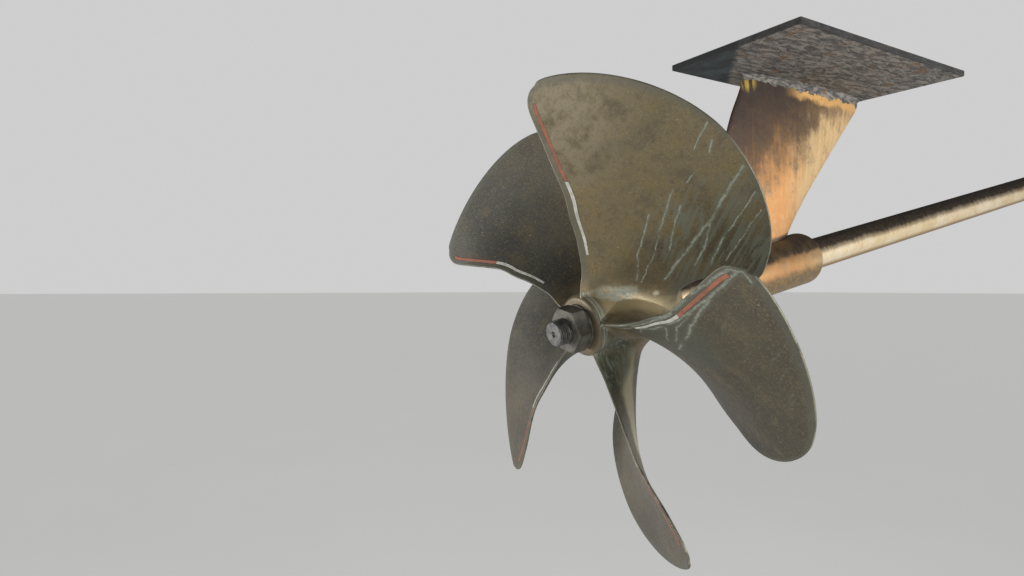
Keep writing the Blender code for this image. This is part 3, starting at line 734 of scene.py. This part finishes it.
def fillet_size(share):
    """The root fillet fades towards the trailing edge, which ends close to the hub's aft face."""
    full = np.clip(share / FULL_FILLET_FROM, 0, 1)
    full = full * full * (3 - 2 * full)
    return ROOT_FILLET * (TRAIL_FILLET_SHARE + (1 - TRAIL_FILLET_SHARE) * full)


def blade_points(ratio, share, side, edge=1.0, lift=0.0):
    """Points on the top blade. share runs from the trailing edge, 0, to the leading edge, 1.

    side is -1 on the pressure face, which looks aft, and 1 on the suction face; edge is 0 on
    the outline and 1 where the edge's round has ended.
    """
    ratio = np.asarray(ratio, float)
    radius = ratio * PROP_RADIUS
    lead = blade_lead(ratio)
    foot = foot_radius(ratio, share)
    size = fillet_size(share)
    growth = fillet_growth(radius - foot, size)
    low = 1 - np.clip((radius - foot) / LEAD_FLARE_HEIGHT, 0, 1)
    flare = share ** 2 * LEAD_FLARE * low ** LEAD_FLARE_POWER
    reach = (share - 0.5) * blade_chord(ratio) + flare
    across = (0.5 * EDGE_THICKNESS + growth) * edge
    if side > 0:
        thickness = smooth_curve(ratio, blade_ratios, blade_thicknesses)
        across = across + (thickness - EDGE_THICKNESS) * 4 * share * (1 - share) * edge
    across = side * (across + lift)
    swing = (reach * np.cos(lead) - across * np.sin(lead)) / radius
    angle = ROOT_ANGLE + blade_swing(ratio) + swing
    station = blade_middle(ratio) + reach * np.sin(lead) + across * np.cos(lead)
    # the fillet's toe follows the slope of the hub
    radius = radius + (rounded_hub_radius(station) - FILLET_SINK - foot) * growth / size
    return np.stack((radius * np.sin(angle), -radius * np.cos(angle), station), -1)


def blade_grid():
    """Radius ratio, chord share and distance from the outline over a grid on the blade.

    The grid's rows follow the root fillet at first and bend to the round of the tip at last.
    """
    across = np.concatenate((ROUND_OFF, np.linspace(*FLAT_COLUMNS), 1 - ROUND_OFF[::-1]))
    table = np.linspace(CORNER_RATIO, 1, TIP_SAMPLES)
    offset = (2 * across - 1) * half_angle(CORNER_RATIO)
    tip = np.interp(abs(offset), half_angle(table)[::-1], table[::-1])
    foot = np.full(len(across), BLADE_OUTLINE[0][0])
    for _ in range(FOOT_TRIES):
        foot = foot_radius(foot, across) / PROP_RADIUS
    bend = np.radians(np.linspace(0, 90, FILLET_ROWS))[:, None]
    fillet = foot + fillet_size(across) / PROP_RADIUS * (1 - np.cos(bend))
    out = np.concatenate((np.linspace(0, 0.97, FACE_ROWS)[1:], 1 - ROUND_OFF[6::-1] * 0.8))
    face = fillet[-1:] + out[:, None] * (tip - fillet[-1:])
    rows = np.concatenate((np.full((1, len(across)), INNER_RATIO), fillet, face))
    # v runs out from the inner end to the tip, and u from the trailing to the leading side
    v = (rows - INNER_RATIO) / (tip - INNER_RATIO)
    u = np.broadcast_to(across, v.shape)
    side = INNER_RATIO + (CORNER_RATIO - INNER_RATIO) * v
    angle = blade_swing(side) + (2 * u - 1) * half_angle(side)
    angle = angle + v * (blade_swing(tip) - blade_swing(CORNER_RATIO))
    ratio = np.minimum(rows, 1.0)
    half = np.maximum(half_angle(ratio), 1e-9)
    share = np.clip(0.5 + 0.5 * (angle - blade_swing(ratio)) / half, 0, 1)
    share[:, 0], share[:, -1] = 0.0, 1.0
    reach = np.minimum(u, 1 - u) * np.maximum(blade_chord(side), 0.1)
    from_edge = np.minimum(reach, (1 - v) * (1 - INNER_RATIO) * PROP_RADIUS)
    return ratio, share, from_edge


def build_blade():
    ratio, share, from_edge = blade_grid()
    rounding = 1 - np.clip(from_edge / (EDGE_THICKNESS / 2), 0, 1)
    edge = np.sqrt(1 - rounding ** 2)
    sheets = [blade_points(ratio, share, side, edge) for side in (-1, 1)]
    rows, columns = ratio.shape
    points = np.concatenate([sheet.reshape(-1, 3) for sheet in sheets])
    faces = []
    for first in (0, rows * columns):
        for r in range(rows - 1):
            for c in range(columns - 1):
                i = first + r * columns + c
                faces.append((i, i + 1, i + columns + 1, i + columns))
    for c in range(columns - 1):
        faces.append((c, c + 1, rows * columns + c + 1, rows * columns + c))
    return new_piece("blade", points, faces, shaft_line), sheets, from_edge


def strip_rings(ends, half, low, high, corner=0.0):
    """Rings of a bar along the trailing edge, with low and high measured out of the face."""
    section = [(-1, low), (1, low), (1, high), (-1, high)]
    if corner:
        section[2:] = [(1, high - corner), (1 - corner / half, high),
                       (corner / half - 1, high), (-1, high - corner)]
    rings = []
    for ratio in np.linspace(*ends, STRIP_STEPS):
        chord = blade_chord(ratio)
        reach = half * np.interp(ratio, *STRIP_TAPER)
        rings.append([blade_points(ratio, (STRIP_INSET + reach * a) / chord, -1, 1.0, lift)
                      for a, lift in section])
    return rings


def build_hub():
    aft, fore = HUB_ENDS
    aft_side, fore_side = both_rounded(float(hub_radius(aft + HUB_ROUND)), aft, fore, HUB_ROUND,
                                       float(hub_radius(fore - HUB_ROUND)))
    stations = np.linspace(aft + HUB_ROUND, fore - HUB_ROUND, HUB_ROWS)[1:-1]
    middle = [(float(hub_radius(station)), station) for station in stations]
    inside = [(SHAFT_RADIUS + FIT_GAP, fore), (TAPER_AFT_RADIUS + FIT_GAP, TAPER_START),
              (TAPER_AFT_RADIUS + FIT_GAP, aft)]
    profile = aft_side + middle + fore_side + inside
    return turned("propeller_casting", profile, HUB_SIDES, "joined")


def build_propeller():
    """Hub and blades in one, with each place's distance from the blades' outline kept on it."""
    blade, sheets, from_edge = build_blade()
    ends = (STRIP_ENDS["inner"][0], STRIP_ENDS["outer"][1])
    rings = strip_rings(ends, STRIP_WIDTH / 2, -STRIP_DEPTH, GROOVE_CUT)
    combine(blade, "DIFFERENCE", ringed("groove", rings, "capped", shaft_line))
    hub = build_hub()
    near = KDTree(BLADE_COUNT * 2 * from_edge.size)
    for number in range(BLADE_COUNT):
        swung = shaft_line @ Matrix.Rotation(-math.tau * number / BLADE_COUNT, 4, "Z")
        copy = linked("blade_copy", blade.data.copy())
        copy.data.transform(swung @ shaft_line.inverted())
        combine(hub, "UNION", copy)
        turn, shift = np.array(swung.to_3x3()), np.array(swung.translation)
        for sheet in sheets:
            for i, point in enumerate(sheet.reshape(-1, 3) @ turn.T + shift):
                near.insert(point, i)
    bpy.data.objects.remove(blade)
    near.balance()
    distances = from_edge.reshape(-1)
    edges = [distances[near.find(v.co)[1]] for v in hub.data.vertices]
    hub.data.attributes.new("from_edge", "FLOAT", "POINT").data.foreach_set("value", edges)
    smooth(hub, 50)
    return hub


# Pale green runs that water left on the blades: blade, half width in millimetres, then the radius
# ratio and chord share of each point.
RUNS = (
    (1, 2.4, (0.876, 0.955), (0.800, 0.835), (0.611, 0.690), (0.441, 0.675), (0.260, 0.800)),
    (1, 1.5, (0.520, 0.400), (0.429, 0.425), (0.345, 0.465), (0.217, 0.575)),
    (1, 1.9, (0.651, 0.525), (0.542, 0.470), (0.461, 0.480)),
    (1, 1.0, (0.461, 0.480), (0.356, 0.580), (0.271, 0.610), (0.210, 0.620)),
    (1, 1.5, (0.605, 0.550), (0.529, 0.520), (0.406, 0.620)),
    (1, 1.6, (0.602, 0.690), (0.503, 0.695), (0.394, 0.830)),
    (1, 1.4, (0.825, 0.955), (0.666, 0.810), (0.541, 0.750), (0.433, 0.845)),
    (1, 1.2, (0.785, 0.960), (0.616, 0.845), (0.497, 0.820)),
    (1, 1.5, (0.895, 0.840), (0.853, 0.775)),
    (1, 1.2, (0.941, 0.910), (0.835, 0.695)),
    (1, 0.9, (0.753, 0.645), (0.705, 0.600)),
    (5, 2.2, (0.376, 0.030), (0.550, 0.010), (0.758, 0.010), (0.917, 0.012), (0.955, 0.020),
     (0.966, 0.055)),
    (5, 2.4, (0.940, 0.024), (0.867, 0.056), (0.803, 0.058), (0.715, 0.055), (0.593, 0.052),
     (0.392, 0.092)),
    (5, 2.2, (0.767, 0.062), (0.657, 0.090), (0.590, 0.130), (0.433, 0.295)),
    (5, 1.6, (0.663, 0.062), (0.549, 0.085), (0.456, 0.220)),
    (5, 1.5, (0.483, 0.080), (0.417, 0.210)),
    (5, 1.4, (0.392, 0.092), (0.330, 0.090), (0.290, 0.180)),
    (5, 1.8, (0.376, 0.030), (0.300, 0.020), (0.220, 0.020), (0.160, 0.030)),
    (5, 1.3, (0.330, 0.030), (0.270, 0.080), (0.200, 0.110)),
)
# the way that the water ran, in the shaft line's own axes
RUN_DIRECTION = (-0.72, 0.66, 0.20)


def run_closeness(f, place):
    """Distance from the nearest run of verdigris, in half widths of that run."""
    distances = []
    for blade, half, *points in RUNS:
        turn = Matrix.Rotation(-math.tau * (blade - 1) / BLADE_COUNT, 3, "Z")
        path = [turn @ Vector(blade_points(ratio, share, -1)) for ratio, share in points]
        distances.append(f.times(f.beside(place, path), 1000 / half))
    return f.least(*distances)


def propeller_finish():
    f = Finish("weathered_bronze", metallic=0.35)
    along = f.split(f.place)[2]
    radius = f.from_shaft()
    from_edge = f.add("ShaderNodeAttribute", attribute_name="from_edge").outputs["Fac"]
    broad = f.grain(0.22, 3, 0.5)
    medium = f.grain(0.050, 5)
    fine = f.grain(0.012, 5, 0.65)
    speck = f.grain(0.0042, 3, 0.7)
    clouds = f.band(broad, 0.38, 0.60)
    # the blades are grey brown, in painted shade a darker grey to port, and the top one is
    # more olive and yellow
    grey = f.blend(clouds, (82, 77, 68), (100, 93, 79))
    brown = f.near(0.30, 0.18, (0.38, 0.14, 0.15))
    grey = f.over(grey, f.blend(clouds, (70, 66, 54), (84, 78, 63)), brown, 0.85)
    # painted shade: the port blade is darkened to a cooler grey
    shaded = f.near(0.38, 0.22, (-0.38, -0.12, 0.10))
    grey = f.over(grey, f.blend(clouds, (58, 60, 58), (74, 76, 72)), shaded, 0.7)
    olive = f.blend(clouds, (92, 84, 66), (118, 106, 78))
    warm = f.near(0.34, 0.20, (0.15, -0.30, 0.16))
    colour = f.over(grey, olive, warm)
    lighter = f.blend(warm, (106, 96, 74), (124, 108, 64))
    colour = f.over(colour, lighter, f.band(medium, 0.50, 0.66), 0.5)
    colour = f.over(colour, (80, 73, 64), f.band(medium, 0.47, 0.34), 0.45)
    # painted sheen: a paler patch high on the top blade's trailing side
    pale = f.near(0.24, 0.08, (0.02, -0.46, 0.09))
    colour = f.over(colour, (150, 139, 117), pale, f.band(medium, 0.35, 0.55), 0.7)
    colour = f.over(colour, (82, 74, 57), f.band(fine, 0.5, 0.66), 0.35)
    colour = f.over(colour, (146, 131, 94), f.band(speck, 0.53, 0.66), 0.45)
    colour = f.over(colour, (66, 62, 52), f.band(speck, 0.44, 0.34), 0.30)
    # a grey-green rim with a thin worn edge
    rim = f.band(f.uneven(from_edge, medium, 0.03), 0.024, 0.008)
    colour = f.over(colour, (98, 98, 86), rim, 0.6)
    line = f.band(f.uneven(from_edge, fine, 0.003), 0.0018, 0.0008)
    line = f.times(line, f.band(radius, 0.20, 0.28), f.band(medium, 0.40, 0.56))
    colour = f.over(colour, (150, 146, 126), line, 0.7)
    # hub and roots: tan bronze showing through, with painted highlights on the hub and on the
    # lower blade's root, then green in the hollows
    root = f.band(f.uneven(radius, medium, 0.05), 0.125, 0.080)
    tan = f.blend(f.band(medium, 0.40, 0.62), (110, 101, 78), (150, 134, 100))
    colour = f.over(colour, tan, root, 0.8)
    # painted highlight: a pale tan band along the hub's upper starboard side
    painted_highlight = f.near(0.030, 0.008, (0.058, -0.036, 0.115), (0.073, -0.026, 0.180),
                    (0.075, -0.012, 0.230), place=f.wandering(0.03, 0.006))
    colour = f.over(colour, (156, 141, 106), painted_highlight, 0.75)
    # painted light: a pale cream streak out along the lower blade's starboard side from its root
    painted_light = f.near(0.045, 0.015, (0.041, 0.100, 0.145), (0.043, 0.180, 0.138),
                 (0.062, 0.270, 0.120), place=f.wandering(0.04, 0.012))
    colour = f.over(colour, (196, 188, 152), painted_light, 0.85)
    below = f.near(0.070, 0.040, (0.050, 0.085, 0.110), place=f.wandering(0.03, 0.010))
    colour = f.over(colour, (84, 86, 72), below, 0.7)
    hollow = f.near(0.120, 0.060, (0.250, 0.015, 0.095), place=f.wandering(0.04, 0.015))
    colour = f.over(colour, (88, 92, 82), hollow, 0.6)
    drawn_out = f.stretched((0.035, 0.007, 0.010), (0.2, 0.95, 0.1))
    verdigris = f.band(f.grain(1.0, 5, 0.65, place=drawn_out), 0.50, 0.62)
    colour = f.over(colour, (128, 140, 124), below, verdigris, 0.9)
    # thin pale rings round the hub's aft end, whose face is brown
    rings = f.grain(1.0, 3, place=f.stretched((0.08, 0.08, 0.0022)))
    aft_end = f.times(f.band(along, 0.100, 0.082), f.band(radius, 0.080, 0.073))
    aft_end = f.times(aft_end, f.band(radius, 0.056, 0.060))
    colour = f.over(colour, (158, 162, 146), aft_end, f.band(rings, 0.44, 0.54), 0.9)
    face = f.blend(f.band(medium, 0.4, 0.6), (98, 88, 68), (116, 96, 70))
    colour = f.over(colour, face, f.band(along, 0.078, 0.073), f.band(radius, 0.068, 0.066), 0.8)
    # runs of verdigris, broken up and with a fainter edge
    wander = f.wandering(0.024, 0.0048)
    broken = f.uneven(run_closeness(f, wander), f.grain(0.007, 4, 0.7), 3.2)
    broken = f.uneven(broken, medium, 2.0)
    halo = f.times(f.band(broken, 4.5, 1.0), 0.40)
    run = f.times(f.band(broken, 1.7, 0.2), 0.8)
    # faint parallel streaks, strongest on the top blade's leading side
    streaks = f.grain(1.0, 4, place=f.stretched((0.14, 0.0075, 0.0075), RUN_DIRECTION))
    field = f.near(0.190, 0.100, (0.270, -0.120, 0.260))
    streak = f.times(field, f.band(streaks, 0.45, 0.58), 0.85)
    faint = f.times(f.band(streaks, 0.58, 0.70), f.band(broad, 0.45, 0.6), 0.4)
    colour = f.over(colour, (114, 117, 101), f.most(halo, streak, faint))
    # crust on the runs and in a patch at the top blade's root, and a small pale spot near the
    # roots
    patch = f.near(0.020, 0.010, (0.044, -0.062, 0.112), (0.056, -0.053, 0.146),
                   (0.064, -0.056, 0.172), place=f.wandering(0.02, 0.006))
    patch = f.times(patch, f.band(fine, 0.66, 0.40), 0.8)
    pale_green = f.blend(f.band(fine, 0.4, 0.6), (122, 128, 114), (154, 158, 144))
    colour = f.over(colour, pale_green, f.most(run, patch))
    # a small pale spot near the roots
    pale_spot = f.near(0.012, 0.003, (0.0783, -0.040, 0.2285), place=wander)
    colour = f.over(colour, (196, 190, 168), pale_spot, f.band(fine, 0.44, 0.54), 0.8)
    # small pale specks where growth has been scraped off
    cells = f.add("ShaderNodeTexVoronoi", {"Vector": f.place, "Scale": 1 / 0.022})
    dot = f.band(cells.outputs["Distance"], 0.085, 0.045)
    dot = f.times(dot, f.band(medium, 0.50, 0.58))
    colour = f.over(colour, (156, 156, 138), dot, 0.7)
    crust = f.most(run, patch, dot)
    rough = f.most(f.level(fine, 0.36, 0.62), f.times(crust, 0.85))
    relief = f.sum("ADD", f.sum("MULTIPLY_ADD", speck, 0.4, fine), crust)
    return f.paint(colour, rough, f.level(crust, 0.35, 0.0), relief, 0.0005)


propeller = build_propeller()
propeller.data.materials.append(propeller_finish())
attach(propeller, "rotor")
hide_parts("propeller")

# Edge strips. Bars of red and white plastic lie in a groove along each trailing edge, glued in
# and faired to the pressure face.
STRIP_PROUD = 0.0006
STRIP_CORNER = 0.0008


def strip_finish(name, dark, light):
    return mottled(name, dark, light, 0.02, 6, 0.7, ends=(0.35, 0.6), spread=(0.5, 0.8),
                   relief=(0.004, 4), depth=0.0004)


strip_finishes = {
    "outer": (strip_finish("red_plastic", (138, 90, 70), (168, 104, 80)), "red_strip"),
    "inner": (strip_finish("white_plastic", (166, 166, 154), (200, 199, 189)), "white_strip"),
}
for part, (material, finish) in strip_finishes.items():
    first, last = STRIP_ENDS[part]
    ends = (first + FIT_GAP / PROP_RADIUS, last - FIT_GAP / PROP_RADIUS)
    half = STRIP_WIDTH / 2 - FIT_GAP
    rings = strip_rings(ends, half, FIT_GAP - STRIP_DEPTH, STRIP_PROUD, STRIP_CORNER)
    for number in range(1, BLADE_COUNT + 1):
        turn = Matrix.Rotation(-math.tau * (number - 1) / BLADE_COUNT, 4, "Z")
        strip = ringed(f"{part}_edge_strip_{number}", rings, "capped", shaft_line @ turn)
        strip.data.materials.append(material)
        smooth(strip)
        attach(strip, "rotor")
        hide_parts(f"{part}_strip_{number}")

# Nuts. A washer, the main nut and a thinner lock nut hold the hub on the taper. They are dark
# bronze, and their corners are turned off at both ends.
NUT_FLATS = 0.090
NUT_THICKNESS = 0.034
LOCK_NUT_FLATS = 0.082
LOCK_NUT_THICKNESS = 0.014
NUT_CHAMFER = 0.006
NUT_CORNER_SPARE = 0.0005
NUT_EDGE = 0.0007
NUT_TURNS = {"main_nut": 12.0, "thin_nut": 31.0}
WASHER_RADIUS = 0.049
WASHER_THICKNESS = 0.005
WASHER_ROUND = 0.0012
nut_hole = THREAD_RADIUS + FIT_GAP


def build_nut(name, flats, aft, fore):
    corner = flats / math.sqrt(3)
    drop = NUT_CHAMFER * math.tan(math.radians(30))
    start = math.radians(NUT_TURNS[name])
    nut = ringed(name, [ring(corner, s, 6, start) for s in (aft, fore)], "capped", shaft_line)
    wide, narrow = corner + NUT_CORNER_SPARE, corner - NUT_CHAMFER
    outside = [(0, aft), (narrow, aft), (wide, aft + drop),
               (wide, fore - drop), (narrow, fore), (0, fore)]
    combine(nut, "INTERSECT", turned("outside", outside))
    bore(nut, nut_hole, aft, fore)
    worn = nut.modifiers.new("worn edges", "BEVEL")
    worn.width = NUT_EDGE
    worn.segments = 3
    worn.limit_method = "ANGLE"
    worn.angle_limit = math.radians(25)
    settle(nut)
    return nut


def build_washer(aft, fore):
    aft_side, fore_side = both_rounded(WASHER_RADIUS, aft, fore, WASHER_ROUND)
    return turned("washer", [(nut_hole, aft)] + aft_side + fore_side + [(nut_hole, fore)],
                  ends="joined")


def nut_finish():
    f = Finish("dark_nut_bronze", metallic=0.2)
    mottle = f.grain(0.018, 6, 0.65)
    fine = f.grain(0.003, 3)
    colour = f.blend(f.band(mottle, 0.38, 0.62), (82, 79, 71), (108, 104, 93))
    colour = f.over(colour, (150, 146, 132), f.band(fine, 0.6, 0.75), 0.4)
    relief = f.sum("ADD", mottle, fine)
    return f.paint(colour, f.level(mottle, 0.45, 0.7), relief=relief, depth=0.0005)


nut_material = nut_finish()
washer_fore = HUB_ENDS[0] - FIT_GAP
washer_aft = washer_fore - WASHER_THICKNESS
nut_fore = washer_aft - FIT_GAP
nut_aft = nut_fore - NUT_THICKNESS
thin_fore = nut_aft - FIT_GAP
thin_aft = thin_fore - LOCK_NUT_THICKNESS
washer = build_washer(washer_aft, washer_fore)
nuts = (
    (build_nut("main_nut", NUT_FLATS, nut_aft, nut_fore), "propeller_nut"),
    (build_nut("thin_nut", LOCK_NUT_FLATS, thin_aft, thin_fore), "lock_nut"),
    (washer, "nut_washer"),
)
for piece, node in nuts:
    piece.data.materials.append(nut_material)
    smooth(piece, 30)
    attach(piece, "rotor")
    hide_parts(node)

# Studio. A plain pale floor runs back under an even pale surround, which is darker overhead so
# that what looks up stays in shade, with soft lights from the sides.
FLOOR_LEVEL = -2.0
FLOOR_REACH = 200.0
FLOOR_GLOW = 0.42
# how steeply a place in the surround lies overhead, and how bright it is there
SURROUND_FADE = {"From Min": 0.05, "From Max": 0.35, "To Min": 0.70, "To Max": 0.08}
SURROUND_SEEN = 0.62
LIGHT_SIZE = 1.8
LIGHT_SPREAD = math.radians(70)
# name, place, what it is aimed at, watts
LIGHTS = (
    ("left_light", (-3.0, -4.4, -1.0), (-0.1, -0.6, -0.5), 21),
    ("right_light", (4.2, 0.9, -0.8), (-0.1, 0.0, -0.4), 27),
    ("front_light", (2.6, -4.4, -1.0), (-0.1, -0.6, -0.6), 3.5),
)
CAMERA_PLACE = (1.1652, -0.8218, 0.0973)
CAMERA_TURN = (90, 0, 58.297)
SENSOR_WIDTH = 36
FOCAL_LENGTH = 23.90


def floor_finish():
    f = Finish("pale_floor", roughness=0.9, turned=False)
    f.shader.inputs["Emission Color"].default_value = (1, 1, 0.98, 1)
    f.shader.inputs["Emission Strength"].default_value = FLOOR_GLOW
    return f.paint(f.blend(f.band(f.grain(0.8, 6), 0.3, 0.7), (200, 200, 200), (208, 208, 207)))


corners = [(x * FLOOR_REACH, y * FLOOR_REACH, FLOOR_LEVEL)
           for x, y in ((-1, -1), (1, -1), (1, 1), (-1, 1))]
floor = new_piece("floor", corners, [(0, 1, 2, 3)])
floor.data.materials.append(floor_finish())

world = bpy.data.worlds.new("surround")
bpy.context.scene.world = world
world.use_nodes = True
nodes, links = world.node_tree.nodes, world.node_tree.links
sky = nodes["Background"]
sky.inputs["Color"].default_value = (1, 1, 1, 1)
up = nodes.new("ShaderNodeSeparateXYZ")
links.new(nodes.new("ShaderNodeTexCoord").outputs["Generated"], up.inputs[0])
fade = nodes.new("ShaderNodeMapRange")
fade.interpolation_type = "SMOOTHSTEP"
links.new(up.outputs[2], fade.inputs["Value"])
for slot, value in SURROUND_FADE.items():
    fade.inputs[slot].default_value = value
seen = nodes.new("ShaderNodeLightPath")
pick = nodes.new("ShaderNodeMix")
links.new(seen.outputs["Is Camera Ray"], pick.inputs[0])
links.new(fade.outputs[0], pick.inputs[2])
pick.inputs[3].default_value = SURROUND_SEEN
links.new(pick.outputs[0], sky.inputs["Strength"])

for name, place, aim, power in LIGHTS:
    lamp = bpy.data.lights.new(name, "AREA")
    lamp.size = LIGHT_SIZE
    lamp.energy = power
    lamp.spread = LIGHT_SPREAD
    light = linked(name, lamp)
    light.location = place
    light.rotation_euler = (Vector(place) - Vector(aim)).to_track_quat("Z", "Y").to_euler()

lens = bpy.data.cameras.new("camera")
lens.sensor_width = SENSOR_WIDTH
lens.lens = FOCAL_LENGTH
camera = linked("camera", lens)
camera.location = shaft_end + Vector(CAMERA_PLACE)
camera.rotation_euler = [math.radians(angle) for angle in CAMERA_TURN]
bpy.context.scene.camera = camera
bpy.context.scene.view_settings.view_transform = "Standard"
